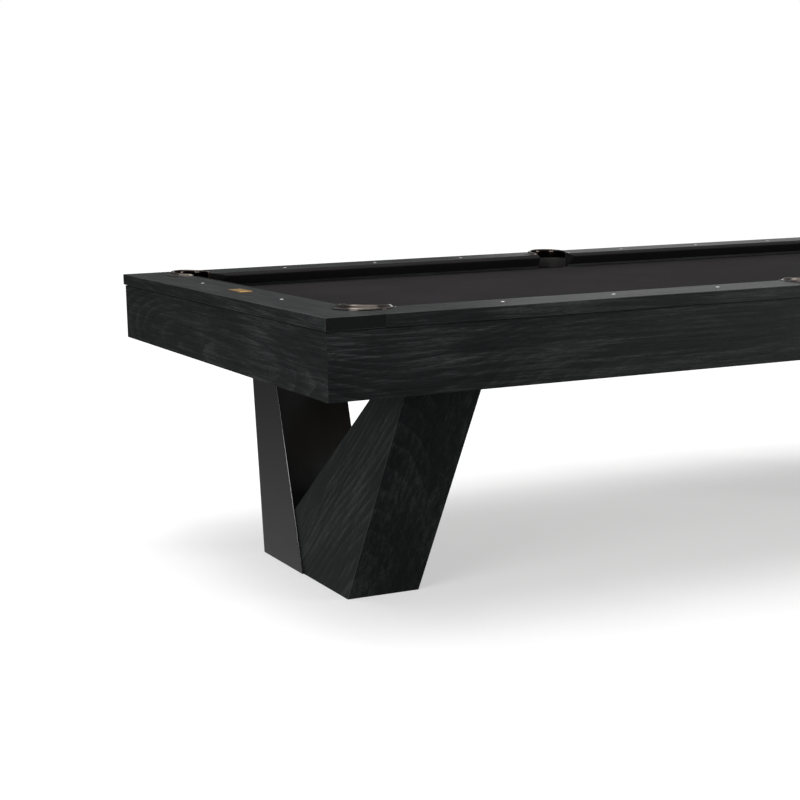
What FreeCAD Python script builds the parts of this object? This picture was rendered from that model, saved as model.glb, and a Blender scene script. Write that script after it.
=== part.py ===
"""A nine foot pool table on two V pedestals, in millimetres.

The origin is on the floor under the middle of the table.  +X runs along the table, +Y to the far long
side and +Z up.  "left" is the -X end and "near" is the -Y side.
"""

import FreeCAD, Part
import math
import os
import re
import Sketcher

SIZES = {
    # playing field, between the cushion noses
    "play_length": 2540, "play_width": 1270, "sight_spacing": 317.5,
    # rails: outer edge to nose, wooden cap, and the heights
    "rail_width": 192, "cap_width": 154, "cap_thickness": 32, "rail_top": 817,
    "subrail_width": 72, "strip_width": 8, "strip_height": 7, "strip_inset": 1,
    "nose_height": 36.5, "nose_lip": 3, "cushion_foot": 9, "rail_cloth": 0.8,
    "facing_thickness": 4,
    # sights and plaque, set in the rail caps
    "sight_radius": 5.5, "sight_depth": 3, "sight_inset": 92,
    "plaque_length": 100, "plaque_width": 44, "plaque_thickness": 1.6,
    # bed
    "bed_height": 772, "bed_cloth": 0.8, "slate_thickness": 25,
    "slate_overhang": 75, "slate_gap": 0.2,
    # pockets: centre beyond the nose lines, mouth half openings and cushion flare per unit of depth
    "pocket_radius": 58, "pocket_wall": 3, "corner_beyond": 20, "side_beyond": 65,
    "corner_tip": 85.6, "side_tip": 66.5, "corner_flare": 1.28, "side_flare": 0.249,
    "pocket_clearance": 1, "pocket_bottom": 640, "bag_rim_drop": 4,
    "iron_radius": 78, "iron_rise": 13, "iron_skirt": 17, "iron_round": 8,
    "corner_arc": 240, "side_arc": 232,
    # aprons
    "rail_overhang": 5, "apron_bottom": 619, "apron_thickness": 22,
    "block_size": 40, "block_inset": 12,
    # slate frame
    "beam_width": 40, "side_beam_middle": 560, "end_beam_middle": 1200, "plate_thickness": 10,
    # V pedestals: run along X, floor widths along Y, and the lean of each edge per unit of height
    "leg_outer_end": 1214, "leg_depth": 216, "wood_recess": 5, "steel_foot": 307, "wood_foot": 315,
    "steel_outer_lean": 0.092, "steel_inner_lean": 0.304,
    "wood_inner_lean": 1.414, "wood_outer_lean": 0.647, "steel_wall": 4,
    "plate_far_edge": 600, "plate_near_edge": 710,
    # levelling feet: a pad in a recess and a threaded stud
    "foot_along": 155, "pad_radius": 24, "pad_height": 10, "pad_inset": 1,
    "recess_radius": 27, "recess_depth": 14, "stud_radius": 6, "stud_length": 62,
    "stud_grip": 4, "running_clearance": 0.05, "foot_block": 110,
    # fasteners
    "rail_bolt_radius": 5, "rail_bolt_head": 10, "rail_bolt_inset": 140, "bolt_head_height": 6,
    "rail_bolt_grip": 8, "bolt_clearance": 0.5,
    "screw_radius": 3, "screw_head": 6, "screw_head_height": 5, "screw_length": 55,
    "screw_from_end": 50, "screw_from_joint": 60,
    "leg_bolt_radius": 5, "leg_bolt_length": 60, "leg_bolt_half_spacing": 50,
}

# places worked out from the driving dimensions; bound() writes them out in terms of the sheet
FORMULAS = {
    "nose_x": "play_length / 2",
    "nose_y": "play_width / 2",
    "edge_x": "nose_x + rail_width",
    "edge_y": "nose_y + rail_width",
    "cap_x": "edge_x - cap_width",
    "cap_y": "edge_y - cap_width",
    "cap_bottom": "rail_top - cap_thickness",
    "flare_depth": "rail_width - cap_width - strip_width + subrail_width",
    "slate_top": "bed_height - bed_cloth",
    "slate_bottom": "slate_top - slate_thickness",
    "slate_x": "nose_x + slate_overhang",
    "slate_y": "nose_y + slate_overhang",
    "corner_x": "nose_x + corner_beyond",
    "corner_y": "nose_y + corner_beyond",
    "side_y": "nose_y + side_beyond",
    "cut_radius": "pocket_radius + pocket_wall + pocket_clearance",
    "apron_x": "edge_x - rail_overhang",
    "apron_y": "edge_y - rail_overhang",
    "beam_bottom": "apron_bottom + plate_thickness",
    "steel_top_inner": "steel_inner_lean * apron_bottom",
    "steel_top_outer": "steel_foot + steel_outer_lean * apron_bottom",
    "wood_top_inner": "steel_foot - wood_inner_lean * apron_bottom",
    "wood_top_outer": "-wood_foot - wood_outer_lean * apron_bottom",
    "crotch_z": "steel_foot / (steel_inner_lean + wood_inner_lean)",
    "crotch_y": "steel_inner_lean * crotch_z",
    "leg_middle_x": "leg_outer_end - leg_depth / 2",
    "rail_bolt_x": "edge_x - rail_bolt_inset",
    "rail_bolt_y": "edge_y - rail_bolt_inset",
    "slate_joint": "slate_x / 3",
}

SIDES = {"near": -1, "far": 1}
ENDS = {"left": -1, "right": 1}
RAIL_BOLT_STEPS = (0.75, 2, 3.25)     # along a side rail, in sight spacings from the middle of the table
END_BOLT_STEPS = (-1.25, 0, 1.25)
SIDE_SIGHT_STEPS = (1, 2, 3)
END_SIGHT_STEPS = (-1, 0, 1)
SLATE_SCREW_STEPS = ("end_beam_middle - screw_from_end", "slate_joint + screw_from_joint",
                     "slate_joint - screw_from_joint")
CROSS_BEAM_STEPS = ("-slate_joint", "0", "slate_joint")

doc = FreeCAD.newDocument("pool_table")
sheet = doc.addObject("Spreadsheet::Sheet", "Sizes")
kept = []                             # the sub-parts that are written out


def fill_sheet():
    """Put every driving dimension in a row of its own."""
    for row, (alias, value) in enumerate(SIZES.items(), 1):
        sheet.set("A%d" % row, alias)
        sheet.set("B%d" % row, str(value))
        sheet.setAlias("B%d" % row, alias)
    doc.recompute()


fill_sheet()


def bound(formula):
    """The formula with each word of the sheet written as a reference to it."""
    def reference(match):
        word = match.group(0)
        if word in FORMULAS:
            return "(%s)" % bound(FORMULAS[word])
        return "Sizes." + word if word in SIZES else word

    return re.sub("[a-z_]+", reference, str(formula))


def size(formula):
    """The number that the formula gives, for places that a loop works out."""
    return float(sheet.evalExpression(bound(formula)))


def bind(thing, prop, formula):
    """Bind one property to the sheet."""
    thing.setExpression(prop, bound(formula))


def keep(thing, label):
    """Name a sub-part and mark it to be written."""
    thing.Label = label
    kept.append(thing)
    return thing


def prism(name, plane, corners, low=None, high=None):
    """A body padded from a polygon on an origin plane, from low to high along the plane's normal.

    Without low and high it runs the whole table's length, to both sides of the plane.
    """
    body = doc.addObject("PartDesign::Body", name)
    sketch = body.newObject("Sketcher::SketchObject", name + "_outline")
    role = [item for item in body.Origin.OriginFeatures if item.Role == plane][0]
    sketch.AttachmentSupport = [(role, "")]
    sketch.MapMode = "FlatFace"
    points = [FreeCAD.Vector(size(across), size(up), 0) for across, up in corners]
    count = len(points)
    for number in range(count):
        sketch.addGeometry(Part.LineSegment(points[number], points[(number + 1) % count]), False)
    for number in range(count):
        sketch.addConstraint(Sketcher.Constraint("Coincident", number, 2, (number + 1) % count, 1))
    for number, (across, up) in enumerate(corners):
        start = points[number]
        for kind, formula, value in (("DistanceX", across, start.x), ("DistanceY", up, start.y)):
            index = sketch.addConstraint(Sketcher.Constraint(kind, -1, 1, number, 1, value))
            bind(sketch, "Constraints[%d]" % index, formula)
    pad = body.newObject("PartDesign::Pad", name + "_pad")
    pad.Profile = sketch
    if low is None:
        pad.SideType = "Symmetric"
        bind(pad, "Length", "play_length + 4 * rail_width")
    else:
        bind(sketch, "AttachmentOffset.Base.z", low)
        bind(pad, "Length", "(%s) - (%s)" % (high, low))
    return body


def block(name, x_range, y_range, z_range):
    """A box between three pairs of formulas."""
    box = doc.addObject("Part::Box", name)
    for side, axis, (low, high) in zip(("Length", "Width", "Height"), "xyz", (x_range, y_range, z_range)):
        bind(box, side, "(%s) - (%s)" % (high, low))
        bind(box, "Placement.Base." + axis, low)
    return box


def rod(name, radius, x_place, y_place, low, high):
    """An upright cylinder between two heights."""
    cylinder = doc.addObject("Part::Cylinder", name)
    bind(cylinder, "Radius", radius)
    bind(cylinder, "Height", "(%s) - (%s)" % (high, low))
    bind(cylinder, "Placement.Base.x", x_place)
    bind(cylinder, "Placement.Base.y", y_place)
    bind(cylinder, "Placement.Base.z", low)
    return cylinder


def sector(name, radius, x_place, y_place, low, high, arc, facing):
    """A wedge of a cylinder, its arc centred on the direction that it faces (degrees)."""
    wedge = rod(name, radius, x_place, y_place, low, high)
    bind(wedge, "Angle", arc)
    wedge.Placement.Rotation = FreeCAD.Rotation(FreeCAD.Vector(0, 0, 1), facing - size(arc) / 2)
    return wedge


def fused(name, things):
    """Several solids joined."""
    joined = doc.addObject("Part::MultiFuse", name)
    joined.Shapes = things
    return joined


def grouped(name, things):
    """Several separate solids held as one sub-part."""
    group = doc.addObject("Part::Compound", name)
    group.Links = things
    return group


def minus(name, base, tool):
    """The base with the tool cut away."""
    cut = doc.addObject("Part::Cut", name)
    cut.Base = base
    cut.Tool = tool
    return cut


def shared(name, first, second):
    """What two solids have in common."""
    common = doc.addObject("Part::Common", name)
    common.Base = first
    common.Tool = second
    return common


def signed(sign, formula):
    """The formula on one side of the table or the other."""
    return "%d * (%s)" % (sign, formula)


def span(sign, inner, outer):
    """The low and high formulas of a stretch that is mirrored with the sign."""
    pair = (signed(sign, inner), signed(sign, outer))
    return pair if sign > 0 else (pair[1], pair[0])


# --- places that repeat ------------------------------------------------------------------------------

def pocket_places():
    """Name, x, y, the direction it faces (away from the field) and its arc, for each of the six pockets."""
    for side, y_sign in SIDES.items():
        for end, x_sign in ENDS.items():
            facing = math.degrees(math.atan2(y_sign, x_sign))
            place = (signed(x_sign, "corner_x"), signed(y_sign, "corner_y"))
            yield (side + "_" + end,) + place + (facing, "corner_arc")
        yield side + "_side", "0", signed(y_sign, "side_y"), 90 * y_sign, "side_arc"


def rail_bolt_places():
    """x and y of every bolt that holds a rail down through the slate."""
    for sign in (-1, 1):
        for step in RAIL_BOLT_STEPS:
            for mirror in (-1, 1):
                yield "%s * sight_spacing" % (mirror * step), signed(sign, "rail_bolt_y")
        for step in END_BOLT_STEPS:
            yield signed(sign, "rail_bolt_x"), "%s * sight_spacing" % step


def slate_screw_places():
    """x and y of every screw that holds a slate to the side beams."""
    for x_sign in (-1, 1):
        for y_sign in (-1, 1):
            for step in SLATE_SCREW_STEPS:
                yield signed(x_sign, step), signed(y_sign, "side_beam_middle")


def sight_places():
    """x and y of every sight; the middle one of the left end is the plaque instead."""
    for sign in (-1, 1):
        for step in SIDE_SIGHT_STEPS:
            for mirror in (-1, 1):
                yield "%d * sight_spacing" % (mirror * step), signed(sign, "edge_y - sight_inset")
        for step in END_SIGHT_STEPS:
            if sign > 0 or step != 0:
                yield signed(sign, "edge_x - sight_inset"), "%d * sight_spacing" % step


def foot_places():
    """Name, x and y of every levelling foot; the right pedestal is the left one turned half round."""
    for end, sign in ENDS.items():
        yield end + "_wood", signed(sign, "leg_middle_x"), signed(sign, "foot_along")
        yield end + "_steel", signed(sign, "leg_middle_x"), signed(-sign, "foot_along")


# --- cutting tools that several pieces share ------------------------------------------------------------

pocket_cuts = fused("pocket_cuts", [
    rod("cut_" + name, "cut_radius", x, y, "pocket_bottom", "rail_top + 10")
    for name, x, y, facing, arc in pocket_places()])
sight_holes = grouped("sight_holes", [
    rod("sight_hole", "sight_radius", x, y, "rail_top - sight_depth", "rail_top + 10")
    for x, y in sight_places()])
corner_notches = [
    block("corner_notch", span(x_sign, "corner_x", "slate_x + 10"), span(y_sign, "corner_y", "slate_y + 10"),
          ("slate_bottom - 10", "bed_height + 10"))
    for x_sign in (-1, 1) for y_sign in (-1, 1)]
bed_cuts = fused("bed_cuts", [pocket_cuts] + corner_notches)
bolt_holes = grouped("bolt_holes", [
    rod("bolt_hole", "rail_bolt_radius + bolt_clearance", x, y, "slate_bottom - 10", "bed_height")
    for x, y in rail_bolt_places()])
bolt_seats = grouped("bolt_seats", [
    rod("bolt_seat", "rail_bolt_radius", x, y, "bed_height - 10", "bed_height + rail_bolt_grip")
    for x, y in rail_bolt_places()])


# --- rails ----------------------------------------------------------------------------------------------

def subrail_section(edge):
    """The hidden rail under the cap, with the upright that backs the cushion."""
    back = "(%s - cap_width - strip_width)" % edge
    return [("%s + subrail_width" % back, "bed_height"),
            ("%s + subrail_width" % back, "cap_bottom"),
            ("%s - cap_width" % edge, "cap_bottom"),
            ("%s - cap_width" % edge, "rail_top - strip_inset - strip_height"),
            (back, "rail_top - strip_inset - strip_height"),
            (back, "bed_height")]


def cushion_section(edge):
    """The triangular rubber, its cloth allowance taken off all round."""
    back = "(%s - cap_width - strip_width)" % edge
    nose = "(%s - rail_width)" % edge
    return [(back, "rail_top - 2 * rail_cloth"),
            ("%s + 2 * nose_lip" % nose, "bed_height + nose_height + nose_lip - rail_cloth"),
            ("%s + rail_cloth" % nose, "bed_height + nose_height"),
            ("%s + nose_lip" % nose, "bed_height + nose_height - nose_lip"),
            (back, "bed_height + cushion_foot")]


def cloth_section(edge):
    """The rail cloth: from the feather strip over the rubber, round the nose and back under it."""
    back = "(%s - cap_width - strip_width)" % edge
    nose = "(%s - rail_width)" % edge
    return [(back, "rail_top - rail_cloth"),
            ("%s + 2 * nose_lip" % nose, "bed_height + nose_height + nose_lip"),
            (nose, "bed_height + nose_height"),
            ("%s + nose_lip" % nose, "bed_height + nose_height - nose_lip - 1.5 * rail_cloth"),
            (back, "bed_height + cushion_foot - 1.5 * rail_cloth"),
            (back, "bed_height + cushion_foot"),
            ("%s + nose_lip" % nose, "bed_height + nose_height - nose_lip"),
            ("%s + rail_cloth" % nose, "bed_height + nose_height"),
            ("%s + 2 * nose_lip" % nose, "bed_height + nose_height + nose_lip - rail_cloth"),
            (back, "rail_top - 2 * rail_cloth")]


def strip_section(edge):
    """The feather strip in its groove between the cap and the rail cloth."""
    outer = "(%s - cap_width)" % edge
    return [(outer, "rail_top - strip_inset - strip_height"),
            (outer, "rail_top - strip_inset"),
            ("%s - strip_width" % outer, "rail_top - strip_inset"),
            ("%s - strip_width" % outer, "rail_top - strip_inset - strip_height")]


def flare_outline(start, start_flare, finish, finish_flare, nose, along_x):
    """Plan of a rail between two pockets: its ends open out behind the nose."""
    sign = nose[0]
    ends = []
    for place, direction, flare in (start + (start_flare,), finish + (finish_flare,)):
        ends.append((place, "%s + %d * %s * flare_depth" % (place, direction, flare)))
    near = signed(sign, nose[1])
    back = signed(sign, "%s + flare_depth" % nose[1])
    outline = [(ends[0][0], near), (ends[1][0], near), (ends[1][1], back), (ends[0][1], back)]
    return outline if along_x else [(second, first) for first, second in outline]


def facing_outline(place, direction, flare, nose, width, along_x):
    """Plan of one rubber facing on a cushion end."""
    sign = nose[0]
    inner = "%s - (%s) * %d" % (place, width, direction)
    slant = "%d * %s * flare_depth" % (direction, flare)
    near = signed(sign, nose[1])
    back = signed(sign, "%s + flare_depth" % nose[1])
    outline = [(inner, near), (place, near), ("%s + %s" % (place, slant), back),
               ("%s + %s" % (inner, slant), back)]
    return outline if along_x else [(second, first) for first, second in outline]


def rail_set(name, plane, edge, sign, start, start_flare, finish, finish_flare, along_x):
    """Sub-rail, strip, rubber, facings and cloth of one rail; start and finish are (place, direction)."""
    nose = (sign, "nose_y" if along_x else "nose_x")

    def section(kind, corners):
        mirrored = [(signed(sign, across), up) for across, up in corners]
        return prism("%s_%s_section" % (name, kind), plane, mirrored)

    def plan(kind, outline):
        return prism("%s_%s_plan" % (name, kind), "XY_Plane", outline, "bed_height - 10", "rail_top + 10")

    whole = flare_outline(start, start_flare, finish, finish_flare, nose, along_x)
    rubber = section("rubber", cushion_section(edge))
    facings = []
    for number, (place, flare) in enumerate(((start, start_flare), (finish, finish_flare))):
        width = "facing_thickness * sqrt(1 + %s * %s)" % (flare, flare)
        outline = facing_outline(place[0], place[1], flare, nose, width, along_x)
        facings.append(shared("%s_facing_%d" % (name, number), rubber, plan("facing_%d" % number, outline)))
    cushion = minus(name + "_cushion", shared(name + "_rubber", rubber, plan("rubber", whole)),
                    fused(name + "_facing_pair", facings))
    cloth = shared(name + "_cloth", section("cloth", cloth_section(edge)), plan("cloth", whole))
    strip_body = shared(name + "_strip_body", section("strip", strip_section(edge)), plan("strip", whole))
    strip = minus(name + "_strip", strip_body, pocket_cuts)
    wood = shared(name + "_wood", section("subrail", subrail_section(edge)), plan("subrail", whole))
    subrail = minus(name + "_subrail", minus(name + "_subrail_body", wood, pocket_cuts), bolt_seats)
    return {"cushion": cushion, "cloth": cloth, "strip": strip, "subrail": subrail, "facings": facings}


def build_rails():
    """Caps, and the sets of hidden and soft pieces that go with them."""
    side_sets = []
    end_sets = []
    for side, y_sign in SIDES.items():
        for end, x_sign in ENDS.items():
            name = "%s_%s" % (side, end)
            corner = (signed(x_sign, "nose_x - corner_tip"), x_sign)
            middle = (signed(x_sign, "side_tip"), -x_sign)
            side_sets.append(rail_set("side_" + name, "YZ_Plane", "edge_y", y_sign, corner, "corner_flare",
                                      middle, "side_flare", True))
            keep(side_sets[-1]["cloth"], "side_rail_cloth_" + name)
            board = block("cap_board_" + name, span(x_sign, "0", "cap_x"), span(y_sign, "cap_y", "edge_y"),
                          ("cap_bottom", "rail_top"))
            cap = minus("cap_drilled_" + name, minus("cap_notched_" + name, board, pocket_cuts), sight_holes)
            keep(cap, "side_rail_cap_" + name)
    for end, x_sign in ENDS.items():
        corners = [(signed(y_sign, "nose_y - corner_tip"), y_sign) for y_sign in (-1, 1)]
        end_sets.append(rail_set("end_" + end, "XZ_Plane", "edge_x", x_sign, corners[0], "corner_flare",
                                 corners[1], "corner_flare", False))
        keep(end_sets[-1]["cloth"], "end_rail_cloth_" + end)
        board = block("end_board_" + end, span(x_sign, "cap_x", "edge_x"), ("-edge_y", "edge_y"),
                      ("cap_bottom", "rail_top"))
        cap = minus("end_drilled_" + end, minus("end_notched_" + end, board, pocket_cuts), sight_holes)
        keep(cap, "end_rail_cap_" + end)
    sets = side_sets + end_sets
    keep(grouped("side_cushion_group", [item["cushion"] for item in side_sets]), "side_cushions")
    keep(grouped("end_cushion_group", [item["cushion"] for item in end_sets]), "end_cushions")
    keep(grouped("side_subrail_group", [item["subrail"] for item in side_sets]), "side_subrails")
    keep(grouped("end_subrail_group", [item["subrail"] for item in end_sets]), "end_subrails")
    keep(grouped("strip_group", [item["strip"] for item in sets]), "feather_strips")
    keep(grouped("facing_group", [facing for item in sets for facing in item["facings"]]), "cushion_facings")


def build_sights():
    """Pearl sights let into the caps, and the plaque in the middle of the left end rail."""
    sights = [rod("sight", "sight_radius", x, y, "rail_top - sight_depth", "rail_top")
              for x, y in sight_places()]
    keep(grouped("sight_group", sights), "rail_sights")
    plaque = block("plaque_plate",
                   ("sight_inset - edge_x - plaque_width / 2", "sight_inset - edge_x + plaque_width / 2"),
                   ("-plaque_length / 2", "plaque_length / 2"), ("rail_top", "rail_top + plaque_thickness"))
    keep(plaque, "end_rail_plaque")


# --- pockets --------------------------------------------------------------------------------------------

def build_pockets():
    """A cast iron rim and a leather bag for each pocket."""
    for name, x, y, facing, arc in pocket_places():
        rim_top = "rail_top + iron_rise"
        flange = sector("flange_" + name, "iron_radius", x, y, "rail_top", rim_top, arc, facing)
        skirt = sector("skirt_" + name, "pocket_radius + pocket_wall", x, y, "rail_top - iron_skirt", rim_top,
                       arc, facing)
        bore = rod("bore_" + name, "pocket_radius", x, y, "pocket_bottom + pocket_wall", "rail_top + 20")
        casting = minus("casting_" + name, fused("casting_body_" + name, [flange, skirt]), bore)
        doc.recompute()
        rounded = doc.addObject("Part::Fillet", "rounded_" + name)
        rounded.Base = casting
        radius = size("iron_round")
        rounded.Edges = [(number, radius, radius) for number in outer_rim_edges(casting)]
        keep(rounded, "pocket_iron_" + name)
        cup = rod("cup_" + name, "pocket_radius + pocket_wall", x, y, "pocket_bottom",
                  "bed_height - bag_rim_drop")
        back = sector("back_" + name, "pocket_radius + pocket_wall", x, y, "pocket_bottom",
                      "rail_top - iron_skirt", arc, facing)
        bag = minus("bag_" + name, fused("bag_body_" + name, [cup, back]), bore)
        keep(bag, "pocket_bag_" + name)


def outer_rim_edges(casting):
    """Numbers of the casting's outer top edge, which is rounded over."""
    top = size("rail_top + iron_rise")
    radius = size("iron_radius")
    numbers = []
    for number, edge in enumerate(casting.Shape.Edges, 1):
        is_arc = isinstance(edge.Curve, Part.Circle) and abs(edge.Curve.Radius - radius) < 0.01
        if is_arc and abs(edge.CenterOfMass.z - top) < 0.01:
            numbers.append(number)
    return numbers


# --- bed ------------------------------------------------------------------------------------------------

def build_bed():
    """Three slates, their screws and the bed cloth."""
    screw_holes = []
    screws = []
    for x, y in slate_screw_places():
        screw_holes.append(rod("slate_hole", "screw_radius + bolt_clearance", x, y,
                               "slate_bottom - 10", "slate_top + 10"))
        screw_holes.append(rod("slate_countersink", "screw_head", x, y,
                               "slate_top - screw_head_height", "slate_top + 10"))
        shank = rod("screw_shank", "screw_radius", x, y, "slate_top - screw_length", "slate_top")
        head = rod("screw_head", "screw_head", x, y, "slate_top - screw_head_height", "slate_top")
        screws.append(fused("slate_screw", [shank, head]))
    keep(grouped("screw_group", screws), "slate_screws")
    holes = fused("slate_holes", screw_holes + [bed_cuts, bolt_holes])
    thirds = {"left": ("-slate_x", "-slate_joint - slate_gap"),
              "middle": ("slate_gap - slate_joint", "slate_joint - slate_gap"),
              "right": ("slate_joint + slate_gap", "slate_x")}
    for name, x_range in thirds.items():
        slab = block("slate_slab_" + name, x_range, ("-slate_y", "slate_y"), ("slate_bottom", "slate_top"))
        keep(minus("slate_cut_" + name, slab, holes), "slate_" + name)
    sheet_slab = block("cloth_slab", ("-slate_x", "slate_x"), ("-slate_y", "slate_y"),
                       ("slate_top", "bed_height"))
    cut_cloth = minus("cloth_cut", sheet_slab, bed_cuts)
    keep(minus("cloth_drilled", cut_cloth, bolt_holes), "bed_cloth")


def build_rail_bolts():
    """Bolts that go up through the slate into the sub-rails."""
    bolts = []
    for x, y in rail_bolt_places():
        shank = rod("bolt_shank", "rail_bolt_radius", x, y, "slate_bottom", "bed_height + rail_bolt_grip")
        head = rod("bolt_head", "rail_bolt_head", x, y, "slate_bottom - bolt_head_height", "slate_bottom")
        bolts.append(fused("rail_bolt", [shank, head]))
    keep(grouped("rail_bolt_group", bolts), "rail_bolts")


# --- frame and aprons -----------------------------------------------------------------------------------

def build_frame():
    """Beams that carry the slates between the aprons."""
    pilot_holes = grouped("pilot_holes", [
        rod("pilot_hole", "screw_radius", x, y, "slate_top - screw_length", "slate_top")
        for x, y in slate_screw_places()])
    inner = "side_beam_middle - beam_width / 2"
    outer = "side_beam_middle + beam_width / 2"
    end_outer = "end_beam_middle + beam_width / 2"
    heights = ("beam_bottom", "slate_bottom")
    beams = [block("side_beam", ("-(%s)" % end_outer, end_outer), span(sign, inner, outer), heights)
             for sign in (-1, 1)]
    keep(minus("side_beams_drilled", grouped("side_beam_pair", beams), pilot_holes), "frame_side_beams")
    crossing = [block("end_beam", span(sign, "end_beam_middle - beam_width / 2", end_outer),
                      ("-(%s)" % inner, inner), heights) for sign in (-1, 1)]
    crossing += [block("cross_beam", ("%s - beam_width / 2" % step, "%s + beam_width / 2" % step),
                       ("-(%s)" % inner, inner), heights) for step in CROSS_BEAM_STEPS]
    keep(grouped("cross_beam_group", crossing), "frame_cross_beams")


def build_aprons():
    """Four boards under the rail caps, mitred at the corners."""
    inner_x = "apron_x - apron_thickness"
    inner_y = "apron_y - apron_thickness"
    for side, sign in SIDES.items():
        corners = [(signed(-1, "apron_x"), signed(sign, "apron_y")), ("apron_x", signed(sign, "apron_y")),
                   (inner_x, signed(sign, inner_y)), (signed(-1, inner_x), signed(sign, inner_y))]
        keep(prism("side_apron_" + side, "XY_Plane", corners, "apron_bottom", "cap_bottom"), "apron_" + side)
    for end, sign in ENDS.items():
        corners = [(signed(sign, "apron_x"), signed(-1, "apron_y")), (signed(sign, "apron_x"), "apron_y"),
                   (signed(sign, inner_x), inner_y), (signed(sign, inner_x), signed(-1, inner_y))]
        keep(prism("end_apron_" + end, "XY_Plane", corners, "apron_bottom", "cap_bottom"), "apron_" + end)
    blocks = []
    for x_sign in (-1, 1):
        for y_sign in (-1, 1):
            x_range = span(x_sign, "apron_x - apron_thickness - block_size", "apron_x - apron_thickness")
            y_range = span(y_sign, "apron_y - apron_thickness - block_size", "apron_y - apron_thickness")
            z_range = ("apron_bottom + block_inset", "cap_bottom")
            blocks.append(block("corner_block", x_range, y_range, z_range))
    keep(grouped("corner_block_group", blocks), "corner_blocks")


# --- pedestals ------------------------------------------------------------------------------------------

def turned(name, thing, end):
    """The left pedestal's piece, turned half round the middle of the table for the right end."""
    holder = grouped(name, [thing])
    if end == "right":
        holder.Placement = FreeCAD.Placement(FreeCAD.Vector(0, 0, 0),
                                             FreeCAD.Rotation(FreeCAD.Vector(0, 0, 1), 180))
    return holder


def foot_hole(name, y_sign):
    """Recess and threaded hole of a levelling foot in the left pedestal."""
    x = "-leg_middle_x"
    y = signed(y_sign, "foot_along")
    recess = rod(name + "_recess", "recess_radius", x, y, "-10", "recess_depth")
    thread = rod(name + "_thread", "stud_radius + running_clearance", x, y, "-10",
                 "pad_inset + stud_grip + stud_length + running_clearance")
    return fused(name, [recess, thread])


def build_pedestals():
    """A wooden slab and a steel slab in a V, a top plate, and the bolts through it."""
    x_range = ("-leg_outer_end", "leg_depth - leg_outer_end")
    wood_corners = [("-wood_foot", "0"), ("0", "0"), ("crotch_y", "crotch_z"),
                    ("wood_top_inner", "apron_bottom"), ("wood_top_outer", "apron_bottom")]
    wood = prism("wood_slab", "YZ_Plane", wood_corners, "wood_recess - leg_outer_end",
                 "leg_depth - leg_outer_end")
    steel_corners = [("0", "0"), ("steel_foot", "0"), ("steel_top_outer", "apron_bottom"),
                     ("steel_top_inner", "apron_bottom")]
    cavity_corners = [("steel_wall + steel_inner_lean * steel_wall", "steel_wall"),
                      ("steel_foot - steel_wall", "steel_wall"),
                      ("steel_top_outer - steel_wall", "apron_bottom - 2 * steel_wall"),
                      ("steel_top_inner + steel_wall", "apron_bottom - 2 * steel_wall")]
    steel = prism("steel_slab", "YZ_Plane", steel_corners, *x_range)
    cavity = prism("steel_cavity", "YZ_Plane", cavity_corners, "steel_wall - leg_outer_end",
                   "leg_depth - leg_outer_end - steel_wall")
    foot_block = block("foot_block", ("-leg_middle_x - foot_block / 2", "foot_block / 2 - leg_middle_x"),
                       ("foot_along - foot_block / 2", "foot_along + foot_block / 2"),
                       ("steel_wall", "steel_wall + foot_block"))
    bolts = []
    holes = []
    bolt_rows = (("(wood_top_inner + wood_top_outer) / 2", "beam_bottom - leg_bolt_length"),
                 ("(steel_top_inner + steel_top_outer) / 2", "apron_bottom - 2 * steel_wall"))
    for y, low in bolt_rows:
        for place in (-1, 1):
            x = "-leg_middle_x + %d * leg_bolt_half_spacing" % place
            shank = rod("leg_bolt_shank", "leg_bolt_radius", x, y, low, "beam_bottom")
            head = rod("leg_bolt_head", "2 * leg_bolt_radius", x, y, "beam_bottom",
                       "beam_bottom + bolt_head_height")
            bolts.append(fused("leg_bolt", [shank, head]))
            holes.append(rod("leg_bolt_hole", "leg_bolt_radius", x, y, low, "beam_bottom + 10"))
    leg_bolt_holes = grouped("leg_bolt_holes", holes)
    plate = block("top_plate", x_range, ("-plate_near_edge", "plate_far_edge"),
                  ("apron_bottom", "beam_bottom"))
    wood_body = minus("wood_leg_body", wood, foot_hole("wood_foot_hole", -1))
    wood_leg = minus("wood_leg", wood_body, leg_bolt_holes)
    shell = minus("steel_leg_shell", steel, cavity)
    steel_body = minus("steel_leg_body", shell, foot_hole("steel_foot_hole", 1))
    steel_leg = minus("steel_leg", steel_body, leg_bolt_holes)
    core = minus("foot_block_drilled", foot_block, foot_hole("block_foot_hole", 1))
    top_plate = minus("top_plate_drilled", plate, leg_bolt_holes)
    bolt_group = grouped("leg_bolt_set", bolts)
    for end in ENDS:
        keep(turned("wood_leg_at_" + end, wood_leg, end), "wood_leg_" + end)
        keep(turned("steel_leg_at_" + end, steel_leg, end), "steel_leg_" + end)
    for label, thing in (("foot_blocks", core), ("leg_top_plates", top_plate), ("leg_bolts", bolt_group)):
        pair = [turned("%s_at_%s" % (label, end), thing, end) for end in ENDS]
        keep(grouped(label + "_pair", pair), label)


def build_feet():
    """Levelling feet: each pad hangs on a threaded stud, clear of the floor while it is screwed in."""
    for name, x, y in foot_places():
        pad_top = "pad_inset + pad_height"
        pad = rod("pad_" + name, "pad_radius", x, y, "pad_inset", pad_top)
        socket = rod("socket_" + name, "stud_radius + running_clearance", x, y,
                     "pad_inset + stud_grip - running_clearance", pad_top)
        keep(minus("foot_pad_body_" + name, pad, socket), "foot_pad_" + name)
        stud = rod("stud_" + name, "stud_radius", x, y, "pad_inset + stud_grip",
                   "pad_inset + stud_grip + stud_length")
        keep(stud, "foot_stud_" + name)


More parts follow.
